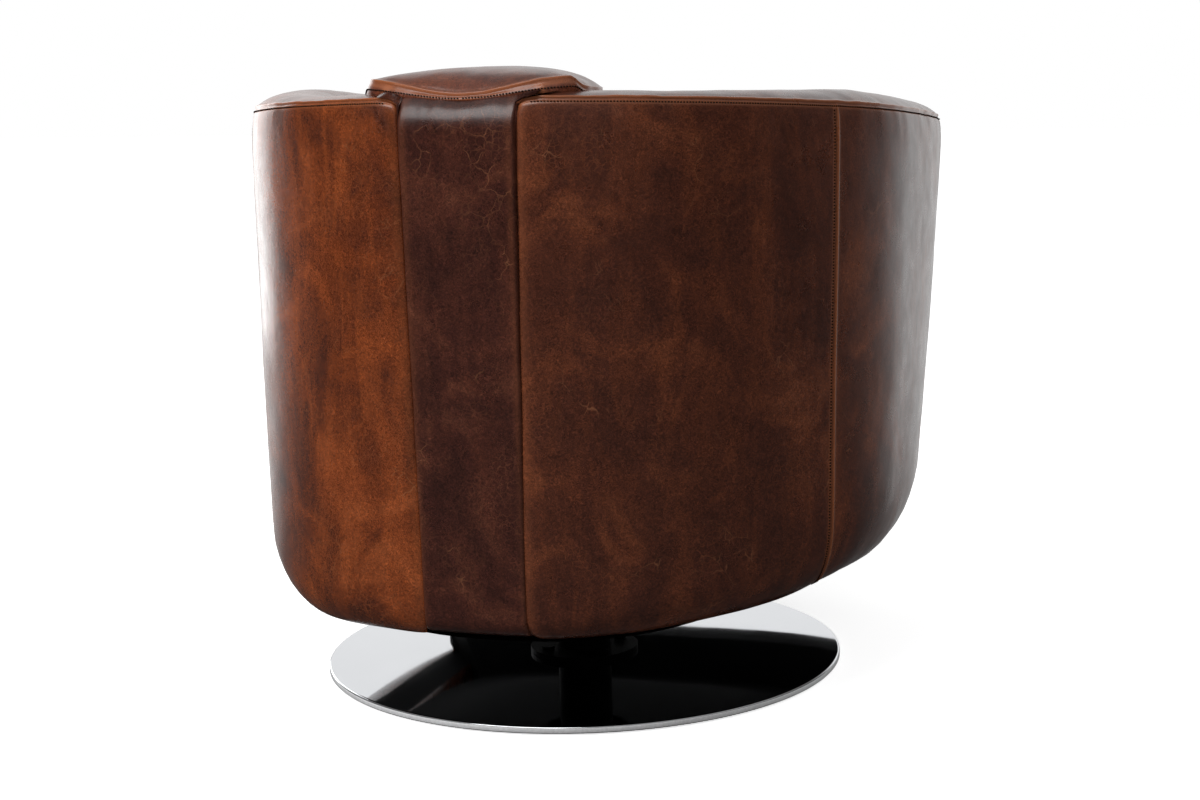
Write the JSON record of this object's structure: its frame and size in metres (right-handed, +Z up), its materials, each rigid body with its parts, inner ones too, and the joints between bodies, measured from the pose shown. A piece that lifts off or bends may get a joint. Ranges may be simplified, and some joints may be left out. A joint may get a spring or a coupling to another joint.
{
  "type": "leather swivel tub chair",
  "caption": "Leather tub chair whose padded arms wrap to the back on both sides of a centre spine with a head cushion, turning on a flat polished disc base.",
  "frame": {"origin": "centre of the floor pad's underside, on the swivel axis", "axes": "+Z up along the swivel axis, -Y towards the sitter's front, +X towards the sitter's left"},
  "size_m": [0.7782, 0.7664, 0.7265],
  "materials": {
    "leather": "gloss",
    "foam": "matte",
    "wood": "matte",
    "plywood": "matte",
    "cloth": "matte",
    "webbing": "matte",
    "chrome": "polished",
    "black_steel": "satin",
    "steel": "satin",
    "nylon": "matte",
    "felt": "matte"
  },
  "bodies": {
    "base": {"base_disc": "chrome", "column": "black_steel", "column_bush": "nylon", "flange_screw_1": "black_steel", "flange_screw_2": "black_steel", "flange_screw_3": "black_steel", "flange_screw_4": "black_steel", "floor_pad": "felt", "thrust_washer": "nylon"},
    "seat": {"apron_cover": "leather", "apron_pad": "foam", "arm_base_cloth_left": "cloth", "arm_base_cloth_right": "cloth", "arm_cover_left": "leather", "arm_cover_right": "leather", "arm_foot_board_left": "plywood", "arm_foot_board_right": "plywood", "arm_pad_left": "foam", "arm_pad_right": "foam", "arm_post_front_left": "wood", "arm_post_front_right": "wood", "arm_post_rear_left": "wood", "arm_post_rear_right": "wood", "arm_top_board_left": "plywood", "arm_top_board_right": "plywood", "back_strip": "leather", "backrest_cover": "leather", "bearer_left": "wood", "bearer_right": "wood", "cushion_base_cloth": "cloth", "cushion_core": "foam", "cushion_cover": "leather", "dust_cover": "cloth", "head_cushion": "leather", "plate_screw_1": "steel", "plate_screw_2": "steel", "plate_screw_3": "steel", "plate_screw_4": "steel", "seat_rail_back": "wood", "seat_rail_front": "wood", "seat_rail_left": "wood", "seat_rail_right": "wood", "spindle_clip": "steel", "spine_foot_block": "wood", "spine_pad": "foam", "spine_post_left": "wood", "spine_post_right": "wood", "spine_top_rail": "wood", "swivel_plate": "steel", "web_strap_1": "webbing", "web_strap_2": "webbing", "web_strap_3": "webbing", "web_strap_4": "webbing", "web_strap_5": "webbing"}
  },
  "joints": [
    {"name": "seat_swivel", "type": "hinge", "parent": "base", "child": "seat", "pos_m": [0, 0, 0.09], "axis": [0, 0, 1], "continuous": true}
  ]
}
